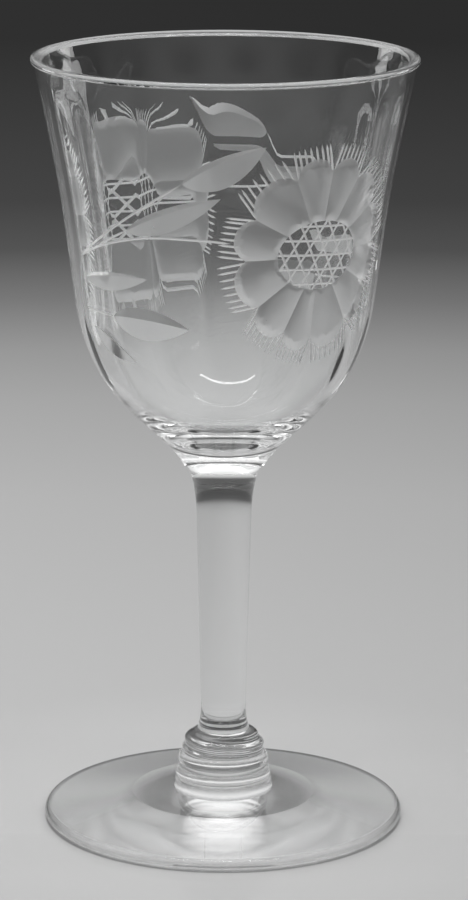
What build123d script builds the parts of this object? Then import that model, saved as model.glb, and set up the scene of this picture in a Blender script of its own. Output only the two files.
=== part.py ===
"""Stemmed sherry glass: a blown bell-shaped bowl, a wafer, a drawn stem, a knop, a collar and a spread foot.

Each piece is one gather of glass and its own solid. The pieces are fused end to end on the
glass's axis, so neighbours share a flat round seam. Units are millimetres, +Z is up, and the
origin is the centre of the ring that the foot stands on.
"""

import os

from build123d import *

# Foot: a disc with a sloping top, a ring where the slope eases and a low boss under the collar
foot_radius = 28.1
foot_edge = 1.9
foot_height = 6.3
ring_radius = 14.3
ring_rise = 1.95
ring_lead = (2.2, 0.1)
boss_radius = 7.75
boss_rise = 2.5
boss_lead = (1.8, 0.25)
hollow_radius = 25.6
hollow_depth = 0.11

# Collar: the low ring between foot and knop
collar_height = 4.1
collar_radius = 7.25
collar_seam_radius = 6.93
collar_top_radius = 6.36

# Knop: the rounded bead that ends the stem
knop_height = 3.7
knop_belly_lead = (0.1, 1.6)
knop_shoulder_lead = (1.7, 0.7)

# Stem: a solid rod that narrows downwards and flares at both ends
stem_length = 40.2
stem_foot_radius = 4.1
stem_slim_radius = 3.52
stem_slim_height = 3.6
stem_upper_radius = 4.28
stem_upper_height = 35.2
stem_top_radius = 4.95

# Wafer: the short flared neck between stem and bowl
wafer_height = 2.6
wafer_top_radius = 5.95
wafer_slope = 0.14

# Bowl rim: a rolled bead that stands a little proud of the wall
bowl_height = 63.3
rim_radius = 29.5
bead_height = 1.0
bead_overhang = 0.5
lip_drop = 0.65
rim_wall = 1.4

# Bowl wall: slopes are millimetres outwards per millimetre up, leads shape the curves between the stations
rim_slope = 0.202
rim_lead = 20.4
rim_lead_inside = 20.2
belly_radius = 23.0
belly_height = 26.5
belly_slope = 0.132
belly_wall = 1.38
belly_lead_up = 19.8
belly_lead_up_inside = 19.6
belly_lead_down = 17.0
root_radius = 6.35
root_lead = (4.0, 6.85)
base_thickness = 4.4
base_lead = 9.9
base_drop = 14.0

# Heights of the seams, worked up from the foot
collar_seam = foot_height
knop_seam = collar_seam + collar_height
stem_seam = knop_seam + knop_height
wafer_seam = stem_seam + stem_length
bowl_seam = wafer_seam + wafer_height
rim_height = bowl_seam + bowl_height

# Spread foot, hollowed a little underneath so that it stands on its outer ring
with BuildPart() as foot:
    with BuildSketch(Plane.XZ):
        with BuildLine():
            edge_centre = foot_radius - foot_edge / 2
            ring = Vector(ring_radius, foot_edge + ring_rise)
            boss = Vector(boss_radius, foot_edge + boss_rise)
            TangentArc((0, hollow_depth), (hollow_radius, 0), tangent=(1, 0))
            Line((hollow_radius, 0), (edge_centre, 0))
            ThreePointArc((edge_centre, 0), (foot_radius, foot_edge / 2), (edge_centre, foot_edge))
            Line((edge_centre, foot_edge), ring)
            Bezier(
                ring,
                ring + Vector(-ring_lead[0], ring_lead[1]),
                boss + Vector(boss_lead[0], -boss_lead[1]),
                boss,
            )
            TangentArc(boss, (collar_seam_radius, foot_height), tangent=(0, 1))
            Line((collar_seam_radius, foot_height), (0, foot_height))
            Line((0, foot_height), (0, hollow_depth))
        make_face()
    revolve(axis=Axis.Z)
foot.part.label = "foot"

# Collar with a rounded outside
with BuildPart() as collar:
    with BuildSketch(Plane.XZ):
        with BuildLine():
            Line((0, collar_seam), (collar_seam_radius, collar_seam))
            ThreePointArc(
                (collar_seam_radius, collar_seam),
                (collar_radius, collar_seam + collar_height / 2),
                (collar_top_radius, knop_seam),
            )
            Line((collar_top_radius, knop_seam), (0, knop_seam))
            Line((0, knop_seam), (0, collar_seam))
        make_face()
    revolve(axis=Axis.Z)
collar.part.label = "collar"

# Knop, widest low down and drawn in to the stem
with BuildPart() as knop:
    with BuildSketch(Plane.XZ):
        with BuildLine():
            knop_root = Vector(collar_top_radius, knop_seam)
            knop_top = Vector(stem_foot_radius, stem_seam)
            Line((0, knop_seam), knop_root)
            Bezier(
                knop_root,
                knop_root + Vector(*knop_belly_lead),
                knop_top + Vector(knop_shoulder_lead[0], -knop_shoulder_lead[1]),
                knop_top,
            )
            Line(knop_top, (0, stem_seam))
            Line((0, stem_seam), (0, knop_seam))
        make_face()
    revolve(axis=Axis.Z)
knop.part.label = "knop"

# Drawn stem
with BuildPart() as stem:
    with BuildSketch(Plane.XZ):
        with BuildLine():
            taper = Line(
                (stem_slim_radius, stem_seam + stem_slim_height),
                (stem_upper_radius, stem_seam + stem_upper_height),
            )
            TangentArc(taper @ 0, (stem_foot_radius, stem_seam), tangent=-(taper % 0))
            TangentArc(taper @ 1, (stem_top_radius, wafer_seam), tangent=taper % 1)
            Line((stem_top_radius, wafer_seam), (0, wafer_seam))
            Line((0, wafer_seam), (0, stem_seam))
            Line((0, stem_seam), (stem_foot_radius, stem_seam))
        make_face()
    revolve(axis=Axis.Z)
stem.part.label = "stem"

# Wafer that spreads from the stem to the bowl
with BuildPart() as wafer:
    with BuildSketch(Plane.XZ):
        with BuildLine():
            Line((0, wafer_seam), (stem_top_radius, wafer_seam))
            TangentArc(
                (stem_top_radius, wafer_seam),
                (wafer_top_radius, bowl_seam),
                tangent=(wafer_slope, 1),
            )
            Line((wafer_top_radius, bowl_seam), (0, bowl_seam))
            Line((0, bowl_seam), (0, wafer_seam))
        make_face()
    revolve(axis=Axis.Z)
wafer.part.label = "wafer"

# Blown bowl: a bell-shaped wall with a thick base, closed at the rim by the rolled bead
with BuildPart() as bowl:
    with BuildSketch(Plane.XZ):
        with BuildLine():
            root = Vector(root_radius, bowl_seam)
            belly = Vector(belly_radius, bowl_seam + belly_height)
            belly_way = Vector(belly_slope, 1)
            neck = Vector(rim_radius - bead_overhang, rim_height - bead_height)
            rim_way = Vector(rim_slope, 1)
            Bezier(root, root + Vector(*root_lead), belly - belly_way * belly_lead_down, belly)
            Bezier(belly, belly + belly_way * belly_lead_up, neck - rim_way * rim_lead, neck)
            bead = ThreePointArc(
                neck,
                (rim_radius, rim_height - bead_height / 2),
                (rim_radius - bead_height / 2, rim_height),
            )
            mouth = neck + Vector(-rim_wall, bead_height - lip_drop)
            TangentArc(bead @ 1, mouth, tangent=(-1, 0))
            inner_belly = belly - Vector(belly_wall, 0)
            Bezier(
                mouth,
                mouth - rim_way * rim_lead_inside,
                inner_belly + belly_way * belly_lead_up_inside,
                inner_belly,
            )
            floor = Vector(0, bowl_seam + base_thickness)
            Bezier(
                inner_belly,
                inner_belly - belly_way * base_drop,
                floor + Vector(base_lead, 0),
                floor,
            )
            Line(floor, (0, bowl_seam))
            Line((0, bowl_seam), root)
        make_face()
    revolve(axis=Axis.Z)
bowl.part.label = "bowl"

os.makedirs("parts", exist_ok=True)
export_step(foot.part, "parts/foot.step")
export_step(collar.part, "parts/collar.step")
export_step(knop.part, "parts/knop.step")
export_step(stem.part, "parts/stem.step")
export_step(wafer.part, "parts/wafer.step")
export_step(bowl.part, "parts/bowl.step")
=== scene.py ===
"""Looks of the stemmed sherry glass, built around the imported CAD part.

Profiles and the cut ornament are worked out in millimetres and scaled when a mesh is made.
Angles round the glass run from the front, -Y, to the right, +X.
"""

import math

import bpy
import numpy as np
from mathutils import Matrix, Vector
from mathutils.geometry import delaunay_2d_cdt


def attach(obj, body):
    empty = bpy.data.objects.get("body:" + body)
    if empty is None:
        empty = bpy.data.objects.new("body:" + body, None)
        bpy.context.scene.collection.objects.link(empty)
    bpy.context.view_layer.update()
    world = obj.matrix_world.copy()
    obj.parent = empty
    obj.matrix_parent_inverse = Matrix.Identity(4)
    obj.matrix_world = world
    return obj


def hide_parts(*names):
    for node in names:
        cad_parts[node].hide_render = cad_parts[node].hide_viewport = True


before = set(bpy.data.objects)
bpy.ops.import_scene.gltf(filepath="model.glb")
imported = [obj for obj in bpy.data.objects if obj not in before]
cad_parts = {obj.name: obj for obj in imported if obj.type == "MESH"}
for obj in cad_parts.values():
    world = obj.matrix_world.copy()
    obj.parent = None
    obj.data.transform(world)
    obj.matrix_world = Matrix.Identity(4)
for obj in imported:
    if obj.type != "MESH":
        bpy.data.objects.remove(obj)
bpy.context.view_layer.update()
scene = bpy.context.scene

MM = 0.001

# Foot, repeated from the CAD part
FOOT_RADIUS = 28.1
FOOT_EDGE = 1.9
FOOT_HEIGHT = 6.3
RING_RADIUS = 14.3
RING_RISE = 1.95
RING_LEAD = (2.2, 0.1)
BOSS_RADIUS = 7.75
BOSS_RISE = 2.5
BOSS_LEAD = (1.8, 0.25)
HOLLOW_RADIUS = 25.6
HOLLOW_DEPTH = 0.11

# Collar, a little fuller at its seam than in the CAD part and creased; crease and ring are (radius, height)
COLLAR_HEIGHT = 4.1
COLLAR_SEAM_RADIUS = 7.45
COLLAR_SEAM_WAY = (0.12, 1)
COLLAR_CREASE = (6.95, 8.1)
COLLAR_RING = (7.12, 9.2)
COLLAR_TOP_RADIUS = 6.36

# Knop, with a spiral ridge that the CAD part leaves out
KNOP_HEIGHT = 3.7
KNOP_BELLY_LEAD = (0.1, 1.6)
KNOP_SHOULDER_LEAD = (1.7, 0.7)
SWIRL_STARTS = 1
SWIRL_PITCH = 1.9
SWIRL_DEPTH = 0.18
SWIRL_FADE = 0.6

# Stem and wafer
STEM_LENGTH = 40.2
STEM_FOOT_RADIUS = 4.1
STEM_SLIM_RADIUS = 3.52
STEM_SLIM_HEIGHT = 3.6
STEM_UPPER_RADIUS = 4.28
STEM_UPPER_HEIGHT = 35.2
STEM_TOP_RADIUS = 4.95
WAFER_HEIGHT = 2.6
WAFER_TOP_RADIUS = 5.95
WAFER_SLOPE = 0.14

# Bowl, repeated from the CAD part
BOWL_HEIGHT = 63.3
RIM_RADIUS = 29.5
BEAD_HEIGHT = 1.0
BEAD_OVERHANG = 0.5
LIP_DROP = 0.65
RIM_WALL = 1.4
RIM_SLOPE = 0.202
RIM_LEAD = 20.4
RIM_LEAD_INSIDE = 20.2
BELLY_RADIUS = 23.0
BELLY_HEIGHT = 26.5
BELLY_SLOPE = 0.132
BELLY_WALL = 1.38
BELLY_LEAD_UP = 19.8
BELLY_LEAD_UP_INSIDE = 19.6
BELLY_LEAD_DOWN = 17.0
ROOT_RADIUS = 6.35
ROOT_LEAD = (4.0, 6.85)
BASE_THICKNESS = 4.4
BASE_LEAD = 9.9
BASE_DROP = 14.0

# Flat panels inside the bowl: the first corner in degrees, and the heights where they fade in and out
PANEL_COUNT = 18
PANEL_START = -20 / 3
PANEL_FLAT = 0.7
PANEL_FOOT = (68.0, 80.0)
PANEL_TOP = (113.0, 118.8)

# Cut ornament: places are (degrees round from the front, height), lengths in millimetres
ORNAMENT_RADIUS = 24.4
ZONE_LOW = 70.5
ZONE_HIGH = 115.0
ZONE_START = -280 / 3
ZONE_ROWS = 38
ZONE_CLEARANCE = 0.3
CHAIN_STEP = 0.9
WELD_GAP = 1e-3
CUT_MARGIN = 0.01
CUT_LEAST_DEPTH = 2e-4
PROBE_STEP = 0.01
PROBE_PULL = 0.15
FLOWER = (35.0, 93.5)
DIVIDERS = (2, 33, 62, 86, 112, 150, 181, 217, 245, 268, 302, 333)
PETAL_RADIUS = 13.9
NOTCH_RADIUS = 11.9
PETAL_TALL = 1.0
PETAL_ROUNDNESS = 2.5
PETAL_DEPTH = 0.5
PETAL_ROOT_DEPTH = 0.4
PETAL_ROOT_RISE = 0.1
PETAL_TIP_RISE = 0.14
FRINGE_COUNT = 8
FRINGE_SPREAD = 0.9
FRINGE_SWAY = 8
FRINGE_SWAYS = 5
FRINGE_RADIUS = 16.1
FRINGE_INSET = 0.8
FRINGE_WIDTH = 0.34
FRINGE_DEPTH = 0.12
FRINGE_RUNOUT = 0.8
LATTICE_WIDE = 7.0
LATTICE_HIGH = 5.2
LATTICE_PITCH = 2.2
LATTICE_TILT = -4.0
LATTICE_EACH_SIDE = 4
LATTICE_LINE = 0.36
LATTICE_DEPTH = 0.1
LATTICE_RUNOUT = 0.3
LATTICE_OVERRUN = 0.25
STALK_LINE = 0.36
STALK_DEPTH = 0.1
STALK_RUNOUT = 1.0
LEAF_STEEPNESS = 0.16
LEAF_BASE_POWER = 0.75
LEAF_TIP_POWER = 0.95
LEAF_PEAK = 0.3114
LEAF_STEPS = 19

# Each set of lattice lines: degrees, and shift in pitches
LATTICE_SETS = ((0, 0), (60, 0), (-60, 0.5))

# Each leaf: base, tip, width above and below the midrib, bend of the midrib
LEAVES = (
    ((-13.9, 104.9), (12.7, 110.6), 1.0, 3.5, 0.4),
    ((-36.2, 97.0), (-1.4, 102.8), 0.9, 2.6, 0.4),
    ((-60.7, 88.6), (-28.7, 89.9), 0.7, 2.2, 0.3),
    ((-45.9, 83.4), (-13.2, 82.6), 2.0, 3.0, 0.3),
    ((-59.8, 81.0), (-37.7, 76.5), 0.7, 2.0, 0.2),
)
# Each stalk: the places it runs through
STALKS = (
    ((-13.9, 104.9), (-48.4, 95.4), (-63.4, 91.6)),
    ((2.0, 96.0), (-8.4, 96.4), (-27.5, 96.3), (-46.7, 94.4), (-63.4, 91.6)),
    ((-36.2, 97.0), (-50.0, 94.2)),
    ((-45.9, 83.4), (-64.0, 83.7)),
    ((-63.4, 91.6), (-66.5, 87.0), (-68.0, 82.5), (-66.0, 79.0)),
)

# Heights of the seams, worked up from the foot
COLLAR_SEAM = FOOT_HEIGHT
KNOP_SEAM = COLLAR_SEAM + COLLAR_HEIGHT
STEM_SEAM = KNOP_SEAM + KNOP_HEIGHT
WAFER_SEAM = STEM_SEAM + STEM_LENGTH
BOWL_SEAM = WAFER_SEAM + WAFER_HEIGHT
RIM_Z = BOWL_SEAM + BOWL_HEIGHT

# Faces round the glass, and the angles of a grid's columns
SEGMENTS = 216
COLUMN_ANGLES = np.linspace(0, 2 * math.pi, SEGMENTS + 1)

# Points along each curve of the bowl's outer wall, enough to read heights off it
WALL_STEPS = 400


def line(start, end, count=2):
    """Points of a straight run, ends included."""
    t = np.linspace(0, 1, count)[:, None]
    return (1 - t) * np.array(start, float) + t * np.array(end, float)


def bezier(p0, p1, p2, p3, count):
    """Points of a cubic Bezier curve, ends included."""
    t = np.linspace(0, 1, count)[:, None]
    p0, p1, p2, p3 = (np.array(p, float) for p in (p0, p1, p2, p3))
    return (1 - t) ** 3 * p0 + 3 * (1 - t) ** 2 * t * p1 + 3 * (1 - t) * t**2 * p2 + t**3 * p3


def tangent_arc(start, end, tangent, count):
    """Points of the arc that leaves start along tangent and ends at end."""
    start, end = np.array(start, float), np.array(end, float)
    chord = end - start
    lead = math.atan2(tangent[1], tangent[0])
    half = math.atan2(chord[1], chord[0]) - lead
    half = (half + math.pi) % (2 * math.pi) - math.pi
    if abs(half) < 1e-6:
        return line(start, end, count)
    part = np.linspace(0, 1, count) * half
    reach = np.hypot(*chord) * np.sin(part) / math.sin(half)
    return start + np.column_stack([reach * np.cos(lead + part), reach * np.sin(lead + part)])


def arc_through(start, middle, end, count):
    """Points of the arc through three points."""
    (ax, ay), (bx, by), (cx, cy) = start, middle, end
    d = 2 * (ax * (by - cy) + bx * (cy - ay) + cx * (ay - by))
    a2, b2, c2 = ax * ax + ay * ay, bx * bx + by * by, cx * cx + cy * cy
    ux = (a2 * (by - cy) + b2 * (cy - ay) + c2 * (ay - by)) / d
    uy = (a2 * (cx - bx) + b2 * (ax - cx) + c2 * (bx - ax)) / d
    radius = math.hypot(ax - ux, ay - uy)
    first, mid, last = (math.atan2(y - uy, x - ux) for x, y in (start, middle, end))
    turn = (last - first) % (2 * math.pi)
    if (mid - first) % (2 * math.pi) > turn:
        turn -= 2 * math.pi
    angle = first + np.linspace(0, 1, count) * turn
    return np.column_stack([ux + radius * np.cos(angle), uy + radius * np.sin(angle)])


def run_normals(points):
    """Outward normals (radial, up) along a profile run that goes up the outside or down the inside."""
    step = np.gradient(points, axis=0)
    if len(points) > 2:
        step[0] = 2 * (points[1] - points[0]) - (points[2] - points[0]) / 2
        step[-1] = 2 * (points[-1] - points[-2]) - (points[-1] - points[-3]) / 2
    normal = np.column_stack([step[:, 1], -step[:, 0]])
    return normal / np.linalg.norm(normal, axis=1)[:, None]


def around(radial, up, angle):
    """A (radial, up) pair turned to an angle round the axis."""
    return (radial * math.sin(angle), -radial * math.cos(angle), up)


class Skin:
    """Collects faces with their own corner normals and welds points that meet."""

    def __init__(self):
        self.points = []
        self.index = {}
        self.faces = []
        self.normals = []
        self.slots = []

    def point(self, p):
        """Number of a point, shared with any earlier point in the same place."""
        key = (round(p[0], 4), round(p[1], 4), round(p[2], 4))
        if key not in self.index:
            self.index[key] = len(self.points)
            self.points.append(p)
        return self.index[key]

    def face(self, corners, normals, slot):
        """Adds a face, without corners that fall together."""
        ids = [self.point(p) for p in corners]
        kept = [i for i in range(len(ids)) if ids[i] != ids[i - 1]]
        if len(kept) < 3:
            return
        self.faces.append([ids[i] for i in kept])
        self.normals.extend(normals[i] for i in kept)
        self.slots.append(slot)

    def turn(self, run, slot=0, flat_normal=None):
        """Adds a profile run turned round the axis."""
        normal = run_normals(run) if flat_normal is None else np.tile(flat_normal, (len(run), 1))
        angles = [2 * math.pi * j / SEGMENTS for j in range(SEGMENTS + 1)]
        for i in range(len(run) - 1):
            for j in range(SEGMENTS):
                spots = ((i, j), (i, j + 1), (i + 1, j + 1), (i + 1, j))
                self.face(
                    [around(*run[a], angles[b]) for a, b in spots],
                    [around(*normal[a], angles[b]) for a, b in spots],
                    slot,
                )

    def sweep(self, grid, slot=0):
        """Adds a grid of points, rows along the profile and columns once round the glass."""
        along = np.gradient(grid, axis=0)
        closed = np.concatenate([grid[:, -2:-1], grid, grid[:, 1:2]], axis=1)
        normal = np.cross((closed[:, 2:] - closed[:, :-2]), along)
        normal[np.hypot(grid[..., 0], grid[..., 1]) < 1e-6] = (0, 0, 1)
        for i in range(len(grid) - 1):
            for j in range(SEGMENTS):
                spots = ((i, j), (i, j + 1), (i + 1, j + 1), (i + 1, j))
                self.face([tuple(grid[a]) for a in spots], [tuple(normal[a]) for a in spots], slot)

    def object(self, name, materials):
        """Makes the collected faces into an object, in metres."""
        mesh = bpy.data.meshes.new(name)
        mesh.from_pydata([tuple(c * MM for c in p) for p in self.points], [], self.faces)
        for material in materials:
            mesh.materials.append(material)
        mesh.polygons.foreach_set("material_index", self.slots)
        mesh.polygons.foreach_set("use_smooth", [True] * len(self.faces))
        mesh.update()
        mesh.normals_split_custom_set([Vector(n).normalized() for n in self.normals])
        obj = bpy.data.objects.new(name, mesh)
        scene.collection.objects.link(obj)
        return obj


# Materials

GLASS_IOR = 1.52


def new_material(name):
    """A material and its empty node tree."""
    material = bpy.data.materials.new(name)
    material.use_nodes = True
    tree = material.node_tree
    tree.nodes.clear()
    return material, tree


def node(tree, kind, **inputs):
    """A node with some of its inputs set; an underscore stands for a space in an input's name."""
    made = tree.nodes.new(kind)
    for key, value in inputs.items():
        made.inputs[key.replace("_", " ")].default_value = value
    return made


def glass_material(name, colour, transmission, roughness, smear_scale, wave_scale, wave_depth):
    """Glass whose roughness and fine surface waves come from noise."""
    material, tree = new_material(name)
    link = tree.links.new
    output = node(tree, "ShaderNodeOutputMaterial")
    shader = node(
        tree,
        "ShaderNodeBsdfPrincipled",
        IOR=GLASS_IOR,
        Base_Color=colour,
        Transmission_Weight=transmission,
    )
    place = node(tree, "ShaderNodeTexCoord")
    smear = node(tree, "ShaderNodeTexNoise", Scale=smear_scale, Detail=3.0)
    spread = node(tree, "ShaderNodeMapRange", To_Min=roughness[0], To_Max=roughness[1])
    waves = node(tree, "ShaderNodeTexNoise", Scale=wave_scale, Detail=1.0)
    bump = node(tree, "ShaderNodeBump", Strength=1.0, Distance=wave_depth)
    link(place.outputs["Object"], smear.inputs["Vector"])
    link(place.outputs["Object"], waves.inputs["Vector"])
    link(smear.outputs["Fac"], spread.inputs["Value"])
    link(spread.outputs["Result"], shader.inputs["Roughness"])
    link(waves.outputs["Fac"], bump.inputs["Height"])
    link(bump.outputs["Normal"], shader.inputs["Normal"])
    link(shader.outputs["BSDF"], output.inputs["Surface"])
    return material


def seam_material():
    """Inner faces where two pieces are fused: hot glass runs together, so nothing shows there."""
    material, tree = new_material("fused_seam")
    output = node(tree, "ShaderNodeOutputMaterial")
    shader = node(tree, "ShaderNodeBsdfPrincipled", Alpha=0.0)
    tree.links.new(shader.outputs["BSDF"], output.inputs["Surface"])
    return material


# Scales of the smears and waves in hot-worked and in wheel-cut glass, and the waves' depth in metres
HOT_WORKED = {"smear_scale": 90.0, "wave_scale": 60.0, "wave_depth": 0.00001}
WHEEL_CUT = {"smear_scale": 300.0, "wave_scale": 400.0, "wave_depth": 0.000004}

CLEAR = glass_material("clear_glass", (0.98, 0.985, 0.985, 1), 1.0, (0.0, 0.012), **HOT_WORKED)
MATT = glass_material("matt_cut", (0.93, 0.935, 0.935, 1), 0.8, (0.25, 0.34), **WHEEL_CUT)
BRIGHT = glass_material("bright_cut", (0.97, 0.975, 0.975, 1), 0.4, (0.4, 0.5), **WHEEL_CUT)
FAINT = glass_material("faint_cut", (0.96, 0.965, 0.965, 1), 0.88, (0.3, 0.4), **WHEEL_CUT)
WORN = glass_material("worn_base", (0.98, 0.985, 0.985, 1), 1.0, (0.08, 0.14), **HOT_WORKED)
SEAM = seam_material()

# Material slots of the turned pieces and of the bowl; slot 0 is clear glass
TURNED_SEAM = 1
TURNED_WORN = 2
BOWL_SLOTS = {"matt": 1, "bright": 2, "seam": 3, "faint": 4}


# Plain turned pieces


def grid_round(radius, heights):
    """A grid of points from a radius for each height and column, and the heights."""
    columns = np.repeat(heights, SEGMENTS + 1, axis=1)
    return np.stack([radius * np.sin(COLUMN_ANGLES), -radius * np.cos(COLUMN_ANGLES), columns], axis=2)


def swirled(run):
    """A run turned round the axis with a low spiral ridge that fades out at its ends, as a grid."""
    rise = run[:, 1:] - run[0, 1]
    fade = np.sin(math.pi * (rise / (run[-1, 1] - run[0, 1]))) ** SWIRL_FADE
    wave = np.cos(SWIRL_STARTS * COLUMN_ANGLES + 2 * math.pi * rise / SWIRL_PITCH)
    return grid_round(run[:, :1] + SWIRL_DEPTH * fade * wave, run[:, 1:])


def turned(name, node_name, runs, caps, grid=None, worn_runs=()):
    """A piece made of clear runs, a grid or worn runs, with fused seam faces as its end caps."""
    skin = Skin()
    if grid is not None:
        skin.sweep(grid)
    for run in runs:
        skin.turn(run)
    for run in worn_runs:
        skin.turn(run, TURNED_WORN)
    for (radius, height), up in caps:
        ends = [(0, height), (radius, height)] if up < 0 else [(radius, height), (0, height)]
        skin.turn(line(*ends, 3), TURNED_SEAM, (0, up))
    obj = skin.object(name, [CLEAR, SEAM, WORN] if worn_runs else [CLEAR, SEAM])
    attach(obj, "root")
    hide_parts(node_name)
    return obj


edge_centre = FOOT_RADIUS - FOOT_EDGE / 2
ring = np.array([RING_RADIUS, FOOT_EDGE + RING_RISE])
boss = np.array([BOSS_RADIUS, FOOT_EDGE + BOSS_RISE])
turned(
    "glass_foot",
    "foot",
    [
        arc_through((edge_centre, 0), (FOOT_RADIUS, FOOT_EDGE / 2), (edge_centre, FOOT_EDGE), 15),
        line((edge_centre, FOOT_EDGE), ring, 12),
        bezier(
            ring,
            ring + (-RING_LEAD[0], RING_LEAD[1]),
            boss + (BOSS_LEAD[0], -BOSS_LEAD[1]),
            boss,
            16,
        ),
        tangent_arc(boss, (COLLAR_SEAM_RADIUS, FOOT_HEIGHT), (0, 1), 14),
    ],
    [((COLLAR_SEAM_RADIUS, FOOT_HEIGHT), 1)],
    worn_runs=[
        tangent_arc((0, HOLLOW_DEPTH), (HOLLOW_RADIUS, 0), (1, 0), 14),
        line((HOLLOW_RADIUS, 0), (edge_centre, 0), 3),
    ],
)
turned(
    "glass_collar",
    "collar",
    [
        tangent_arc((COLLAR_SEAM_RADIUS, COLLAR_SEAM), COLLAR_CREASE, COLLAR_SEAM_WAY, 12),
        arc_through(COLLAR_CREASE, COLLAR_RING, (COLLAR_TOP_RADIUS, KNOP_SEAM), 14),
    ],
    [((COLLAR_SEAM_RADIUS, COLLAR_SEAM), -1), ((COLLAR_TOP_RADIUS, KNOP_SEAM), 1)],
)
knop_root = np.array([COLLAR_TOP_RADIUS, KNOP_SEAM])
knop_top = np.array([STEM_FOOT_RADIUS, STEM_SEAM])
knop_run = bezier(
    knop_root,
    knop_root + KNOP_BELLY_LEAD,
    knop_top + (KNOP_SHOULDER_LEAD[0], -KNOP_SHOULDER_LEAD[1]),
    knop_top,
    40,
)
turned(
    "glass_knop",
    "knop",
    [],
    [((COLLAR_TOP_RADIUS, KNOP_SEAM), -1), ((STEM_FOOT_RADIUS, STEM_SEAM), 1)],
    grid=swirled(knop_run),
)
slim = np.array([STEM_SLIM_RADIUS, STEM_SEAM + STEM_SLIM_HEIGHT])
upper = np.array([STEM_UPPER_RADIUS, STEM_SEAM + STEM_UPPER_HEIGHT])
turned(
    "glass_stem",
    "stem",
    [
        tangent_arc(slim, (STEM_FOOT_RADIUS, STEM_SEAM), slim - upper, 10)[::-1],
        line(slim, upper, 24),
        tangent_arc(upper, (STEM_TOP_RADIUS, WAFER_SEAM), upper - slim, 10),
    ],
    [((STEM_FOOT_RADIUS, STEM_SEAM), -1), ((STEM_TOP_RADIUS, WAFER_SEAM), 1)],
)
turned(
    "glass_wafer",
    "wafer",
    [
        tangent_arc((STEM_TOP_RADIUS, WAFER_SEAM), (WAFER_TOP_RADIUS, BOWL_SEAM), (WAFER_SLOPE, 1), 10),
    ],
    [((STEM_TOP_RADIUS, WAFER_SEAM), -1), ((WAFER_TOP_RADIUS, BOWL_SEAM), 1)],
)


# Bowl profile

belly = np.array([BELLY_RADIUS, BOWL_SEAM + BELLY_HEIGHT])
belly_way = np.array([BELLY_SLOPE, 1.0])
neck = np.array([RIM_RADIUS - BEAD_OVERHANG, RIM_Z - BEAD_HEIGHT])
rim_way = np.array([RIM_SLOPE, 1.0])
root = np.array([ROOT_RADIUS, BOWL_SEAM])
outer_low = bezier(root, root + ROOT_LEAD, belly - BELLY_LEAD_DOWN * belly_way, belly, WALL_STEPS)
outer_high = bezier(belly, belly + BELLY_LEAD_UP * belly_way, neck - RIM_LEAD * rim_way, neck, WALL_STEPS)
outer = np.vstack([outer_low, outer_high[1:]])
outer_normals = run_normals(outer)
crest = (RIM_RADIUS - BEAD_HEIGHT / 2, RIM_Z)
bead = arc_through(neck, (RIM_RADIUS, (neck[1] + RIM_Z) / 2), crest, 14)
mouth = np.array([neck[0] - RIM_WALL, RIM_Z - LIP_DROP])
lip = tangent_arc(crest, mouth, (-1, 0), 8)
inner_belly = belly - (BELLY_WALL, 0)
inner_high = bezier(
    mouth,
    mouth - RIM_LEAD_INSIDE * rim_way,
    inner_belly + BELLY_LEAD_UP_INSIDE * belly_way,
    inner_belly,
    40,
)
floor_middle = np.array([0.0, BOWL_SEAM + BASE_THICKNESS])
inner_low = bezier(
    inner_belly,
    inner_belly - BASE_DROP * belly_way,
    floor_middle + (BASE_LEAD, 0),
    floor_middle,
    60,
)


def wall(heights):
    """Points and outward normals of the outer wall at the given heights."""
    points = np.column_stack([np.interp(heights, outer[:, 1], outer[:, 0]), heights])
    normals = np.column_stack([np.interp(heights, outer[:, 1], outer_normals[:, k]) for k in (0, 1)])
    return points, normals


def ease(value, low, high):
    """Smooth step from 0 at low to 1 at high."""
    t = np.clip((value - low) / (high - low), 0, 1)
    return t * t * (3 - 2 * t)


def panelled(run):
    """The inner wall with flat optic panels whose corners are rounded, as a grid."""
    half = math.pi / PANEL_COUNT
    turn = np.abs((COLUMN_ANGLES - math.radians(PANEL_START)) % (2 * half) - half)
    flat = half * PANEL_FLAT
    slope = math.tan(flat) / math.cos(flat)
    beyond = np.maximum(turn - flat, 0)
    swell = 1 / np.cos(np.minimum(turn, flat)) - 1 + slope * beyond * (1 - beyond / (2 * (half - flat)))
    strength = ease(run[:, 1], *PANEL_FOOT) * (1 - ease(run[:, 1], *PANEL_TOP))
    return grid_round(run[:, :1] * (1 + strength[:, None] * swell), run[:, 1:])


# Wheel-cut ornament, drawn flat: the first axis runs round the wall, the second up


class Cut:
    """A cut: its outline, the lines inside it that the mesh follows, a depth rule and a finish."""

    def __init__(self, outline, ribs, rule, finish):
        self.chains = [np.vstack([outline, outline[:1]])] + [np.array(rib) for rib in ribs]
        self.low = np.min(outline, axis=0) - CUT_MARGIN
        self.high = np.max(outline, axis=0) + CUT_MARGIN
        self.rule = rule
        self.finish = finish

    def depth(self, places):
        """How deep the cut is at each place, 0 outside it."""
        result = np.zeros(len(places))
        near = np.all((places > self.low) & (places < self.high), axis=1)
        result[near] = np.maximum(self.rule(places[near]), 0)
        return result


def spot(degrees, height):
    """A place on the wall as a point of the flat drawing."""
    return np.array([ORNAMENT_RADIUS * math.radians(degrees), height])


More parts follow.
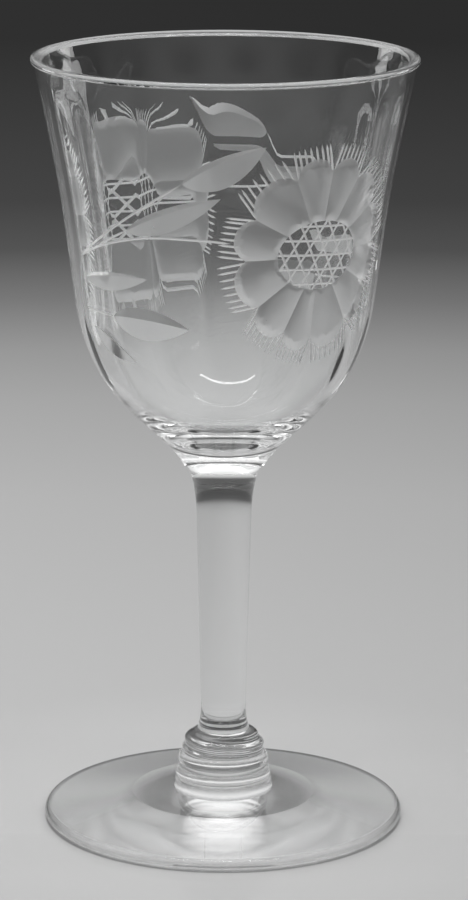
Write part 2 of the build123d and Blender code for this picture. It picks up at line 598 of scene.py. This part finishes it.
def groove(points, width, depth, runout, finish):
    """A V-cut along a chain of points that runs out to a tip at both ends."""
    points = np.array(points, float)
    way = np.gradient(points, axis=0)
    way /= np.linalg.norm(way, axis=1)[:, None]
    side = np.column_stack([-way[:, 1], way[:, 0]])
    along = np.append(0, np.cumsum(np.linalg.norm(np.diff(points, axis=0), axis=1)))
    half = width / 2 * np.clip(np.minimum(along, along[-1] - along) / runout, 0, 1)

    def rule(places):
        share = np.full(len(places), -1.0)
        for a, b, near, far in zip(points[:-1], points[1:], half[:-1], half[1:]):
            step = b - a
            t = np.clip((places - a) @ step / (step @ step), 0, 1)
            gap = np.linalg.norm(places - a - t[:, None] * step, axis=1)
            share = np.maximum(share, (near + (far - near) * t - gap) / (width / 2))
        return depth * share

    reach = side * half[:, None]
    return Cut(np.vstack([points + reach, (points - reach)[-2:0:-1]]), [points], rule, finish)


def stroke(start, end, width, depth, runout, finish):
    """A straight V-cut."""
    start, end = np.array(start, float), np.array(end, float)
    lead = (end - start) * runout / np.linalg.norm(end - start)
    return groove([start, start + lead, end - lead, end], width, depth, runout, finish)


def leaf(base, tip, above, below, bend):
    """A leaf cut with the wheel held aslant: a wide and a narrow facet that meet in a bent midrib."""
    length = np.linalg.norm(tip - base)
    way = (tip - base) / length
    side = np.array([-way[1], way[0]])
    deepest = LEAF_STEEPNESS * max(above, below)

    def swell(t):
        t = np.clip(t, 0, 1)
        return t**LEAF_BASE_POWER * (1 - t) ** LEAF_TIP_POWER / LEAF_PEAK

    def facet(width, sign):
        def rule(places):
            t = (places - base) @ way / length
            across = sign * ((places - base) @ side - 4 * bend * t * (1 - t))
            share = 1 - across / (width * np.maximum(swell(t), 1e-6))
            return np.where((across > -1e-6) & (t > 0) & (t < 1), deepest * swell(t) * share, 0)

        steps = (1 - np.cos(np.linspace(0, math.pi, LEAF_STEPS))) / 2
        rib = [base + way * length * t + side * 4 * bend * t * (1 - t) for t in steps]
        edge = [place + side * sign * width * swell(t) for place, t in zip(rib, steps)]
        finish = "matt" if width >= max(above, below) else "faint"
        return Cut(np.array(edge + rib[-2:0:-1]), [rib], rule, finish)

    return [facet(above, 1), facet(below, -1)]


def petal(centre, first, last):
    """A scooped petal between two directions, with its fringe of parallel strokes."""
    middle, half = (first + last) / 2, (last - first) / 2

    def inner(angle):
        return 1 / np.hypot(np.cos(angle) / LATTICE_WIDE, np.sin(angle) / LATTICE_HIGH)

    def tall(angle):
        return PETAL_TALL * np.sin(angle) ** 2

    def outer_edge(u):
        notched = NOTCH_RADIUS + (PETAL_RADIUS - NOTCH_RADIUS) * (1 - np.abs(u) ** PETAL_ROUNDNESS)
        return notched + tall(middle + u * half)

    def place(u, v):
        angle = middle + u * half
        reach = inner(angle) * (1 - v) + outer_edge(u) * v
        return centre + reach * np.array([math.cos(angle), math.sin(angle)])

    def rule(places):
        offset = places - centre
        turn = np.arctan2(offset[:, 1], offset[:, 0]) - middle
        u = ((turn + math.pi) % (2 * math.pi) - math.pi) / half
        start = inner(middle + u * half)
        v = (np.hypot(offset[:, 0], offset[:, 1]) - start) / (outer_edge(np.clip(u, -1, 1)) - start)
        scoop = PETAL_ROOT_DEPTH + (1 - PETAL_ROOT_DEPTH) * v
        run = np.minimum(np.minimum(v / PETAL_ROOT_RISE, scoop), (1 - v) / PETAL_TIP_RISE)
        return np.where(np.abs(u) < 1, PETAL_DEPTH * (1 - u**2) * run, 0)

    across = np.linspace(-1, 1, 11)
    along = np.linspace(0, 1, 9)
    edge = [place(u, 0) for u in across]
    edge += [place(1, v) for v in along[1:]]
    edge += [place(u, 1) for u in across[-2::-1]]
    edge += [place(-1, v) for v in along[-2:0:-1]]
    ribs = [[place(u, v) for v in along[1:-1]] for u in (-0.5, 0, 0.5)]
    cuts = [Cut(np.array(edge), ribs, rule, "matt")]
    tilt = middle + math.radians(FRINGE_SWAY * math.sin(FRINGE_SWAYS * middle))
    way = np.array([math.cos(tilt), math.sin(tilt)])
    for u in np.linspace(-FRINGE_SPREAD, FRINGE_SPREAD, FRINGE_COUNT):
        root_place = place(u, 1)
        from_centre = root_place - centre
        ahead = from_centre @ way
        reach = FRINGE_RADIUS + tall(middle)
        length = math.sqrt(ahead**2 + reach**2 - from_centre @ from_centre) - ahead
        start, end = root_place - FRINGE_INSET * way, root_place + length * way
        cuts.append(stroke(start, end, FRINGE_WIDTH, FRINGE_DEPTH, FRINGE_RUNOUT, "bright"))
    return cuts


def lattice(centre):
    """Caned flower centre: three sets of parallel lines."""
    cuts = []
    for turn, shift in LATTICE_SETS:
        tilt = turn + LATTICE_TILT
        way = np.array([math.cos(math.radians(tilt)), math.sin(math.radians(tilt))])
        side = np.array([-way[1], way[0]])
        for k in range(-LATTICE_EACH_SIDE, LATTICE_EACH_SIDE + 1):
            start = side * (k + shift) * LATTICE_PITCH
            a = (way[0] / LATTICE_WIDE) ** 2 + (way[1] / LATTICE_HIGH) ** 2
            b = way[0] * start[0] / LATTICE_WIDE**2 + way[1] * start[1] / LATTICE_HIGH**2
            c = (start[0] / LATTICE_WIDE) ** 2 + (start[1] / LATTICE_HIGH) ** 2 - 1
            if b * b - a * c <= 0:
                continue
            reach = (math.sqrt(b * b - a * c) / a + LATTICE_OVERRUN) * way
            middle = centre + start - way * b / a
            ends = (middle - reach, middle + reach)
            cuts.append(stroke(*ends, LATTICE_LINE, LATTICE_DEPTH, LATTICE_RUNOUT, "bright"))
    return cuts


def curve_through(points, count=8):
    """A smooth chain through a few points."""
    points = [2 * points[0] - points[1], *points, 2 * points[-1] - points[-2]]
    chain = []
    for a, b, c, d in zip(points, points[1:], points[2:], points[3:]):
        for t in np.linspace(0, 1, count, endpoint=False):
            square = (2 * a - 5 * b + 4 * c - d) * t**2
            cube = (3 * b - a - 3 * c + d) * t**3
            chain.append(0.5 * (2 * b + (c - a) * t + square + cube))
    return chain + [points[-2]]


def spray():
    """The flower with its leafy stalk, once."""
    centre = spot(*FLOWER)
    cuts = lattice(centre)
    ways = [math.radians(d) for d in DIVIDERS]
    for first, last in zip(ways, ways[1:] + [ways[0] + 2 * math.pi]):
        cuts += petal(centre, first, last)
    for base, tip, above, below, bend in LEAVES:
        cuts += leaf(spot(*base), spot(*tip), above, below, bend)
    for points in STALKS:
        chain = curve_through([spot(*point) for point in points])
        cuts.append(groove(chain, STALK_LINE, STALK_DEPTH, STALK_RUNOUT, "bright"))
    return cuts


def cut_sheet(cuts):
    """Flat triangles of half the wall that follow every cut."""
    columns = [spot(ZONE_START + 360 / SEGMENTS * k, 0)[0] for k in range(SEGMENTS // 2 + 1)]
    rows = list(np.linspace(ZONE_LOW, ZONE_HIGH, ZONE_ROWS + 1))
    border = [(x, rows[0]) for x in columns]
    border += [(columns[-1], z) for z in rows[1:]]
    border += [(x, rows[-1]) for x in columns[-2::-1]]
    border += [(columns[0], z) for z in rows[-2:0:-1]]
    points = list(border)
    edges = [(k, (k + 1) % len(points)) for k in range(len(points))]
    for cut in cuts:
        for chain in cut.chains:
            first = len(points)
            for a, b in zip(chain[:-1], chain[1:]):
                pieces = max(1, math.ceil(np.linalg.norm(b - a) / CHAIN_STEP))
                points += [tuple(a + (b - a) * k / pieces) for k in range(pieces)]
            points.append(tuple(chain[-1]))
            edges += [(k, k + 1) for k in range(first, len(points) - 1)]
    traced = np.array(points[len(border) :])
    for x in columns[1:-1]:
        for z in rows[1:-1]:
            if np.min(np.abs(traced - (x, z)).max(axis=1)) > ZONE_CLEARANCE:
                points.append((x, z))
    flat, _, faces, *_ = delaunay_2d_cdt([Vector(p) for p in points], edges, [], 0, WELD_GAP, False)
    return np.array([tuple(p) for p in flat]), np.array(faces)


def deepest_cut(cuts, places):
    """Depth of the deepest of the cuts at each place."""
    return np.max([cut.depth(places) for cut in cuts], axis=0)


def ornament(skin):
    """Adds the cut half of the wall twice, half a turn apart."""
    cuts = spray()
    flat, faces = cut_sheet(cuts)
    depth = deepest_cut(cuts, flat)
    points, normals = wall(flat[:, 1])
    points = points - normals * depth[:, None]
    angles = flat[:, 0] / ORNAMENT_RADIUS
    centres = flat[faces].mean(axis=1)
    slots = np.zeros(len(faces), int)
    for name in ("faint", "matt", "bright"):
        found = deepest_cut([cut for cut in cuts if cut.finish == name], centres)
        slots[found > CUT_LEAST_DEPTH] = BOWL_SLOTS[name]
    # The cut's slope at each corner, felt a little inside its face
    probe = (flat[faces] * (1 - PROBE_PULL) + centres[:, None, :] * PROBE_PULL).reshape(-1, 2)
    here = deepest_cut(cuts, probe)
    across = ((deepest_cut(cuts, probe + (PROBE_STEP, 0)) - here) / PROBE_STEP).reshape(-1, 3)
    upward = ((deepest_cut(cuts, probe + (0, PROBE_STEP)) - here) / PROBE_STEP).reshape(-1, 3)
    for turn in (0, math.pi):
        for f, face in enumerate(faces):
            corners, corner_normals = [], []
            for c, k in enumerate(face):
                angle = angles[k] + turn
                radial, rise = normals[k]
                normal = np.array(around(radial, rise, angle))
                if slots[f]:
                    normal += across[f, c] * np.array((math.cos(angle), math.sin(angle), 0))
                    normal += upward[f, c] * np.array(around(-rise, radial, angle))
                corners.append(around(*points[k], angle))
                corner_normals.append(normal)
            skin.face(corners, corner_normals, int(slots[f]))


# Bowl: plain wall below and above the ornament, the ornament, the rim, the inside and the seam face

skin = Skin()
for low, high, count in ((BOWL_SEAM, ZONE_LOW, 26), (ZONE_HIGH, neck[1], 5)):
    skin.turn(wall(np.linspace(low, high, count))[0])
ornament(skin)
skin.turn(bead)
skin.turn(lip)
skin.sweep(panelled(np.vstack([inner_high, inner_low[1:]])))
skin.turn(line((0, BOWL_SEAM), (WAFER_TOP_RADIUS, BOWL_SEAM), 3), BOWL_SLOTS["seam"], (0, -1))
skin.turn(line((WAFER_TOP_RADIUS, BOWL_SEAM), root, 3), flat_normal=(0, -1))
bowl = skin.object("glass_bowl", [CLEAR, MATT, BRIGHT, SEAM, FAINT])
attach(bowl, "root")
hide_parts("bowl")


# Floor: plain and pale round the glass, darker with distance by a painted light falloff

FLOOR_SIDES = 96
FLOOR_RADIUS = 4.0
FLOOR_DROP = 0.00005
FLOOR_ROUGHNESS = 0.15
# From left to right a painted shade dims the paper a little, and it shines only towards the front
ACROSS_SPAN = (-0.06, 0.06)
ACROSS_SHADE_TONES = (1.06, 0.94)
GLOSS_SPAN = (-0.035, -0.01)
GLOSS_LEVELS = (0.3, 0.0)
# Painted light falloff: tones by distance from the glass's axis, in metres
FALLOFF_TONES = (
    (0.0, 0.565),
    (0.04, 0.56),
    (0.065, 0.515),
    (0.1, 0.5),
    (0.2, 0.455),
    (0.29, 0.378),
    (0.345, 0.307),
    (0.405, 0.187),
    (0.475, 0.087),
    (0.55, 0.058),
    (0.7, 0.045),
    (0.9, 0.03),
)
# Painted contact shadow, darkest under the knop and in a line under the foot's edge, by distance over
# SHADOW_REACH
SHADOW_REACH = 0.04
PAINTED_SHADOW_TONES = (
    (0.0, 0.12),
    (0.21, 0.13),
    (0.3, 0.22),
    (0.35, 0.48),
    (0.4, 0.76),
    (0.55, 0.84),
    (0.668, 0.92),
    (0.68, 0.5),
    (0.698, 0.5),
    (0.704, 1.0),
)


def grey_ramp(ramp, stops):
    """Gives a colour ramp node its grey stops."""
    elements = ramp.color_ramp.elements
    while len(elements) < len(stops):
        elements.new(0.5)
    for element, (at, value) in zip(elements, stops):
        element.position = at
        element.color = (value, value, value, 1)


def map_range(tree, span, values):
    """A node that maps a span of its input to a span of values and holds the ends."""
    return node(
        tree,
        "ShaderNodeMapRange",
        From_Min=span[0],
        From_Max=span[1],
        To_Min=values[0],
        To_Max=values[1],
    )


def floor_material():
    """Pale paper with a painted light falloff that darkens it away from the glass, a painted shade from left
    to right and a painted contact shadow under the foot.
    """
    material, tree = new_material("floor_paper")
    link = tree.links.new
    output = node(tree, "ShaderNodeOutputMaterial")
    shader = node(tree, "ShaderNodeBsdfPrincipled", Roughness=FLOOR_ROUGHNESS)
    place = node(tree, "ShaderNodeTexCoord")
    parts = node(tree, "ShaderNodeSeparateXYZ")
    away = node(tree, "ShaderNodeVectorMath")
    away.operation = "LENGTH"
    # Painted light falloff: the floor's tone darkens with distance from the glass
    paper = node(tree, "ShaderNodeValToRGB")
    grey_ramp(paper, FALLOFF_TONES)
    reach = node(tree, "ShaderNodeMath")
    reach.operation = "DIVIDE"
    reach.inputs[1].default_value = SHADOW_REACH
    # Painted contact shadow under the foot, multiplied into the floor's tone
    shadow = node(tree, "ShaderNodeValToRGB")
    grey_ramp(shadow, PAINTED_SHADOW_TONES)
    # Painted shade that dims the floor a little from left to right
    across = map_range(tree, ACROSS_SPAN, ACROSS_SHADE_TONES)
    gloss = map_range(tree, GLOSS_SPAN, GLOSS_LEVELS)
    link(place.outputs["Object"], parts.inputs["Vector"])
    link(place.outputs["Object"], away.inputs[0])
    link(away.outputs["Value"], paper.inputs["Fac"])
    link(away.outputs["Value"], reach.inputs[0])
    link(reach.outputs["Value"], shadow.inputs["Fac"])
    link(parts.outputs["X"], across.inputs["Value"])
    link(parts.outputs["Y"], gloss.inputs["Value"])
    tone = paper.outputs["Color"]
    for factor in (shadow.outputs["Color"], across.outputs["Result"]):
        product = node(tree, "ShaderNodeVectorMath")
        product.operation = "MULTIPLY"
        link(tone, product.inputs[0])
        link(factor, product.inputs[1])
        tone = product.outputs["Vector"]
    link(tone, shader.inputs["Base Color"])
    link(gloss.outputs["Result"], shader.inputs["Specular IOR Level"])
    link(shader.outputs["BSDF"], output.inputs["Surface"])
    return material


bpy.ops.mesh.primitive_circle_add(
    vertices=FLOOR_SIDES,
    radius=FLOOR_RADIUS,
    fill_type="NGON",
    location=(0, 0, -FLOOR_DROP),
)
floor = bpy.context.object
floor.name = "floor"
floor.data.materials.append(floor_material())

# Light: a soft box at each side for the bowl, and a strip overhead

BOX_AZIMUTH = 55.0
BOX_DISTANCE = 0.7
BOX_SIZE = (0.19, 0.19)
BOX_RADIANCE = 2.8
STRIP_PLACE = (0.0, -0.04, 0.85)
STRIP_AIM = (0, -0.04, 0)
STRIP_SIZE = (0.63, 0.03)
STRIP_POWER = 0.6


def area(name, place, aim, size, power):
    """A rectangular lamp at a place that faces the aim."""
    data = bpy.data.lights.new(name, "AREA")
    data.shape = "RECTANGLE"
    data.size, data.size_y = size
    data.energy = power
    lamp = bpy.data.objects.new(name, data)
    lamp.location = place
    lamp.rotation_euler = (Vector(aim) - Vector(place)).to_track_quat("-Z", "Y").to_euler()
    scene.collection.objects.link(lamp)
    return lamp


def upright(name, azimuth, distance, size, radiance, lit):
    """A soft box that stands on the floor, faces the glass and is flagged off all but the lit collection."""
    turn = math.radians(azimuth)
    place = (distance * math.sin(turn), distance * math.cos(turn), size[1] / 2)
    lamp = area(name, place, (0, 0, place[2]), size, radiance * math.pi * size[0] * size[1])
    lamp.light_linking.receiver_collection = lit


bowl_only = bpy.data.collections.new("bowl_only")
bowl_only.objects.link(bowl)
upright("box_left", -BOX_AZIMUTH, BOX_DISTANCE, BOX_SIZE, BOX_RADIANCE, bowl_only)
upright("box_right", BOX_AZIMUTH, BOX_DISTANCE, BOX_SIZE, BOX_RADIANCE, bowl_only)
area("strip_top", STRIP_PLACE, STRIP_AIM, STRIP_SIZE, STRIP_POWER)

# World: dark low down, bright overhead, by the height of the direction

WORLD_STRENGTH = 1.1
WORLD_TONES = (
    (0.0, 0.05),
    (0.14, 0.07),
    (0.27, 0.42),
    (0.42, 0.62),
    (0.56, 0.8),
    (0.75, 1.0),
)


def grey_world():
    """A world whose grey follows WORLD_TONES."""
    world = bpy.data.worlds.new("world")
    world.use_nodes = True
    tree = world.node_tree
    link = tree.links.new
    background = tree.nodes["Background"]
    background.inputs["Strength"].default_value = WORLD_STRENGTH
    way = node(tree, "ShaderNodeTexCoord")
    parts = node(tree, "ShaderNodeSeparateXYZ")
    rise = node(tree, "ShaderNodeValToRGB")
    grey_ramp(rise, WORLD_TONES)
    link(way.outputs["Generated"], parts.inputs["Vector"])
    link(parts.outputs["Z"], rise.inputs["Fac"])
    link(rise.outputs["Color"], background.inputs["Color"])
    return world


scene.world = grey_world()

# Camera at the photograph's place

CAMERA_PLACE = (0, -0.583, 0.2023)
CAMERA_PITCH = math.radians(-13.815)
CAMERA_YAW = math.radians(0.149)
CAMERA_ROLL = math.radians(0.226)
LENS = 155.35
SENSOR_WIDTH = 36.0
CLIP_START = 0.01


def camera_turn(pitch, yaw, roll):
    """Rotation of a camera that looks along +Y, turned by yaw, tipped by pitch and rolled."""
    level = math.cos(pitch)
    ahead = Vector((math.sin(yaw) * level, math.cos(yaw) * level, math.sin(pitch)))
    right = ahead.cross(Vector((0, 0, 1))).normalized()
    up = right.cross(ahead)
    rolled_right = right * math.cos(roll) + up * math.sin(roll)
    rolled_up = up * math.cos(roll) - right * math.sin(roll)
    return Matrix((rolled_right, rolled_up, -ahead)).transposed().to_4x4()


camera_data = bpy.data.cameras.new("camera")
camera_data.lens = LENS
camera_data.sensor_width = SENSOR_WIDTH
camera_data.clip_start = CLIP_START
camera = bpy.data.objects.new("camera", camera_data)
camera.matrix_world = Matrix.Translation(CAMERA_PLACE) @ camera_turn(CAMERA_PITCH, CAMERA_YAW, CAMERA_ROLL)
scene.collection.objects.link(camera)
scene.camera = camera

# Light passes many glass faces before it leaves
BOUNCES = 24
scene.view_settings.view_transform = "Standard"
scene.cycles.max_bounces = BOUNCES
scene.cycles.glossy_bounces = BOUNCES
scene.cycles.transmission_bounces = BOUNCES
scene.cycles.transparent_max_bounces = BOUNCES
scene.cycles.blur_glossy = 0.0
